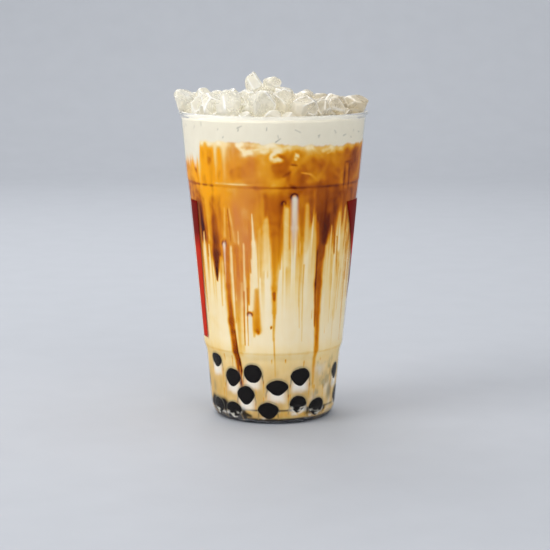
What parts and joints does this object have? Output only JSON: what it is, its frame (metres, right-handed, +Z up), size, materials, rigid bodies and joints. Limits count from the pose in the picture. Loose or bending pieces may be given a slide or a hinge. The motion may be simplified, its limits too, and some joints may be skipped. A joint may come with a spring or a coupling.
{
  "type": "bubble tea",
  "caption": "Tall clear take-away cup of milk with tapioca pearls at the bottom, a brown sugar tea layer running down into it, a milk cap and a heap of crushed ice above the rim.",
  "frame": {"origin": "middle of the cup's foot, on the surface it stands on", "axes": "+Z up the cup, -Y towards the front that the picture shows, +X to the right in that view"},
  "size_m": [0.097, 0.0961, 0.1737],
  "materials": {
    "clear_plastic": "clear and smooth",
    "tapioca": "wet and near black",
    "milk": "smooth liquid",
    "brown_sugar_tea": "smooth syrupy liquid",
    "milk_cap": "smooth liquid",
    "ice": "cloudy and wet"
  },
  "bodies": {
    "root": {"cup": "clear_plastic", "pearls": "tapioca", "milk": "milk", "brown_sugar_tea": "brown_sugar_tea", "milk_cap": "milk_cap", "ice": "ice"}
  },
  "joints": []
}
